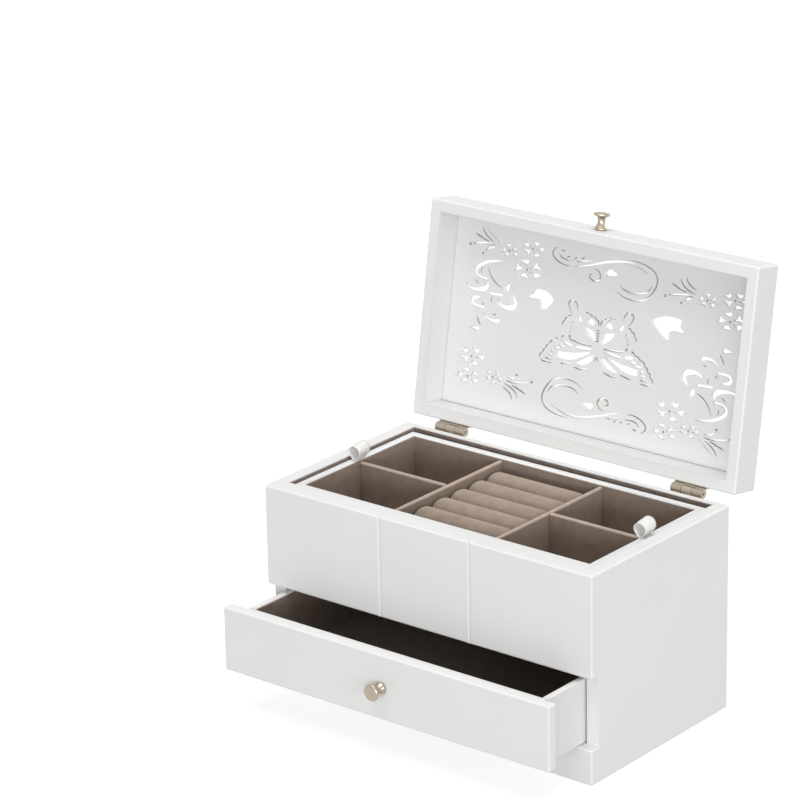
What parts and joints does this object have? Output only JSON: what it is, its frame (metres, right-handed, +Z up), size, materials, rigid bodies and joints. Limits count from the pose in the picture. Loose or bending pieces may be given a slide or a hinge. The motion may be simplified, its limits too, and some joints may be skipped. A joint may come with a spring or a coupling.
{
  "type": "jewelry box with drawer",
  "caption": "White painted wooden jewelry box with a hinged pierced lid, a velvet-lined lift-out ring tray with ribbon pulls, and a knobbed drawer below.",
  "frame": {"origin": "on the floor under the middle of the shut carcass", "axes": "+X to the right seen from the front, +Y from the front to the back, +Z up"},
  "size_m": [0.28, 0.2733, 0.3215],
  "materials": {
    "white_paint": "satin white paint on wood",
    "taupe_velvet": "short-pile velvet",
    "light_taupe_velvet": "short-pile velvet over padding",
    "satin_nickel": "satin champagne nickel plate",
    "white_satin_ribbon": "woven satin"
  },
  "bodies": {
    "box": {"side_panel_left": "white_paint", "side_panel_right": "white_paint", "back_panel": "white_paint", "upper_front_panel": "white_paint", "plinth": "white_paint", "inner_front_board": "white_paint", "compartment_floor": "white_paint", "bottom_board": "white_paint", "compartment_liner": "taupe_velvet", "tray_cleat_left": "taupe_velvet", "tray_cleat_right": "taupe_velvet", "hinge_leaf_body_left": "satin_nickel", "hinge_leaf_body_right": "satin_nickel", "hinge_pin_left": "satin_nickel", "hinge_pin_right": "satin_nickel", "hinge_screw_body_left_a": "satin_nickel", "hinge_screw_body_left_b": "satin_nickel", "hinge_screw_body_right_a": "satin_nickel", "hinge_screw_body_right_b": "satin_nickel"},
    "lid": {"lid_rail_front": "white_paint", "lid_rail_back": "white_paint", "lid_rail_left": "white_paint", "lid_rail_right": "white_paint", "lid_panel": "white_paint", "lid_knob": "satin_nickel", "lid_knob_screw": "satin_nickel", "hinge_leaf_lid_left": "satin_nickel", "hinge_leaf_lid_right": "satin_nickel", "hinge_screw_lid_left_a": "satin_nickel", "hinge_screw_lid_left_b": "satin_nickel", "hinge_screw_lid_right_a": "satin_nickel", "hinge_screw_lid_right_b": "satin_nickel"},
    "drawer": {"drawer_front": "white_paint", "drawer_box_front": "white_paint", "drawer_side_left": "white_paint", "drawer_side_right": "white_paint", "drawer_back": "white_paint", "drawer_bottom": "white_paint", "drawer_liner": "taupe_velvet", "drawer_knob": "satin_nickel", "drawer_knob_screw": "satin_nickel"},
    "tray": {"tray_wall_front": "white_paint", "tray_wall_back": "white_paint", "tray_wall_left": "white_paint", "tray_wall_right": "white_paint", "tray_bottom": "white_paint", "tray_liner": "taupe_velvet", "divider_long_left": "taupe_velvet", "divider_long_right": "taupe_velvet", "divider_short_left": "taupe_velvet", "divider_short_right": "taupe_velvet", "ring_roll_pad": "taupe_velvet", "ring_roll_1": "light_taupe_velvet", "ring_roll_2": "light_taupe_velvet", "ring_roll_3": "light_taupe_velvet", "ring_roll_4": "light_taupe_velvet", "ring_roll_5": "light_taupe_velvet", "ribbon_pull_left": "white_satin_ribbon", "ribbon_pull_right": "white_satin_ribbon"}
  },
  "joints": [
    {"name": "lid_hinge", "type": "hinge", "parent": "box", "child": "lid", "pos_m": [0, 0.0832, 0.151], "axis": [1, 0, 0], "range_deg": [0, 99.4]},
    {"name": "drawer_slide", "type": "slide", "parent": "box", "child": "drawer", "axis": [0, -1, 0], "range_m": [-0.047, 0.053]},
    {"name": "tray_lift", "type": "slide", "parent": "box", "child": "tray", "axis": [0, 0, 1], "range_m": [0, 0.012]}
  ]
}
